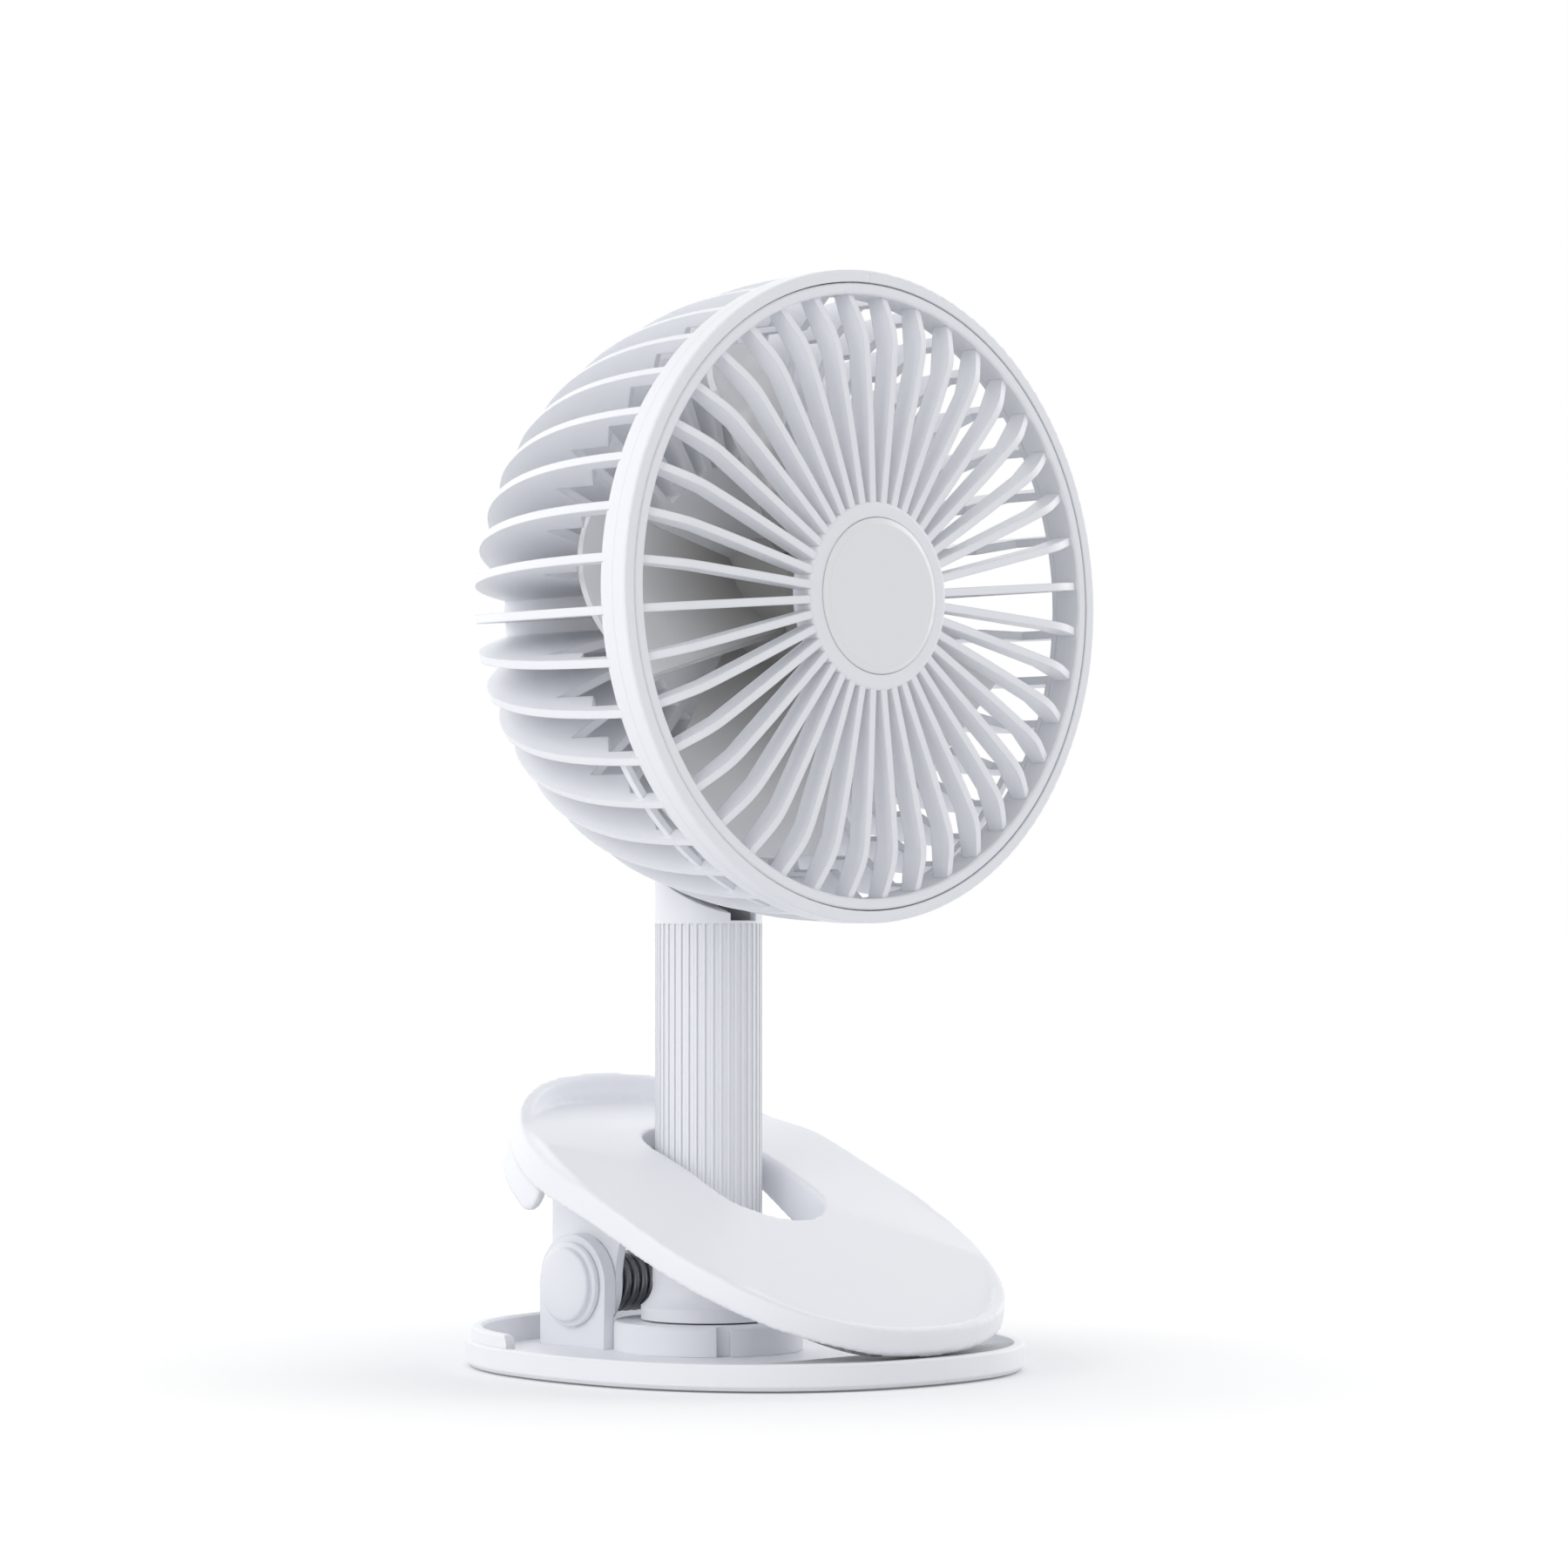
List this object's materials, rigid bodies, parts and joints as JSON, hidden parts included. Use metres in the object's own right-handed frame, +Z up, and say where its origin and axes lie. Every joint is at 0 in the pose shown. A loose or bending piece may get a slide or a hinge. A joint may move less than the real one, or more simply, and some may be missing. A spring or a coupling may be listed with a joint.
{
  "type": "clip fan",
  "caption": "Small clip fan: a round ribbed head tilts and swivels on a fluted column over an oval spring clamp that also stands as its foot.",
  "frame": {"origin": "on the column's swivel axis, in the plane the foot pad rests on", "axes": "+Z up along the column, -Y the way the fan faces, +X to the right for someone who faces the fan's front from behind it"},
  "size_m": [0.127, 0.1124, 0.2151],
  "materials": {
    "white_shell": "satin white moulded plastic",
    "white_gloss": "white moulded plastic",
    "grey_plastic": "moulded plastic",
    "steel": "plated steel",
    "spring_steel": "dark spring steel",
    "iron": "laminated iron",
    "bronze": "sintered bronze",
    "soft_rubber": "soft light grey rubber",
    "friction_washer": "dark friction washer",
    "cell_wrap": "plain blue sleeve",
    "board": "green circuit board",
    "switch_black": "black switch",
    "light_pipe": "frosted light pipe"
  },
  "bodies": {
    "base": {"base_plate": "white_shell", "foot_pad": "soft_rubber", "base_grip_pad": "soft_rubber", "swivel_seat": "white_shell", "seat_screws": "steel", "hinge_pin": "steel", "hinge_caps": "white_shell", "torsion_spring": "spring_steel"},
    "jaw": {"upper_jaw": "white_shell", "slot_liner": "white_shell", "jaw_frame": "white_shell", "jaw_screws": "steel", "jaw_grip_pad": "soft_rubber"},
    "column": {"column_tube": "white_shell", "column_foot": "white_shell", "swivel_retainer": "grey_plastic", "retainer_screw": "steel", "battery_cell": "cell_wrap", "cell_pads": "soft_rubber", "neck_yoke": "grey_plastic", "tilt_pin": "steel", "tilt_washers": "friction_washer"},
    "head": {"rear_cage": "white_shell", "front_grille": "white_shell", "hub_medallion": "white_gloss", "rear_cap": "white_shell", "cap_screws": "steel", "motor_case": "steel", "motor_bushes": "bronze", "motor_screws": "steel", "control_board": "board", "tact_switch": "switch_black", "usb_socket": "steel", "charge_light": "light_pipe"},
    "impeller": {"impeller": "white_gloss", "motor_shaft": "steel", "motor_rotor": "iron"},
    "button": {"power_button": "white_shell"}
  },
  "joints": [
    {"name": "jaw_open", "type": "hinge", "parent": "base", "child": "jaw", "pos_m": [0, 0.0227, 0.0153], "axis": [-1, 0, 0], "range_deg": [0, 30], "stiffness_Nm_per_rad": 0.6, "springref_deg": -51.57, "deforming": ["torsion_spring"]},
    {"name": "column_swivel", "type": "hinge", "parent": "base", "child": "column", "pos_m": [0, 0, 0.0089], "axis": [0, 0, 1], "continuous": true},
    {"name": "head_tilt", "type": "hinge", "parent": "column", "child": "head", "pos_m": [0, 0.005, 0.0852], "axis": [-1, 0, 0], "range_deg": [-5, 35]},
    {"name": "impeller_spin", "type": "hinge", "parent": "head", "child": "impeller", "pos_m": [0, 0, 0.1516], "axis": [0, 1, 0], "continuous": true},
    {"name": "power_press", "type": "slide", "parent": "head", "child": "button", "axis": [0, -1, 0], "range_m": [0, 0.0005], "stiffness_N_per_m": 600, "springref_m": -0.0008}
  ]
}
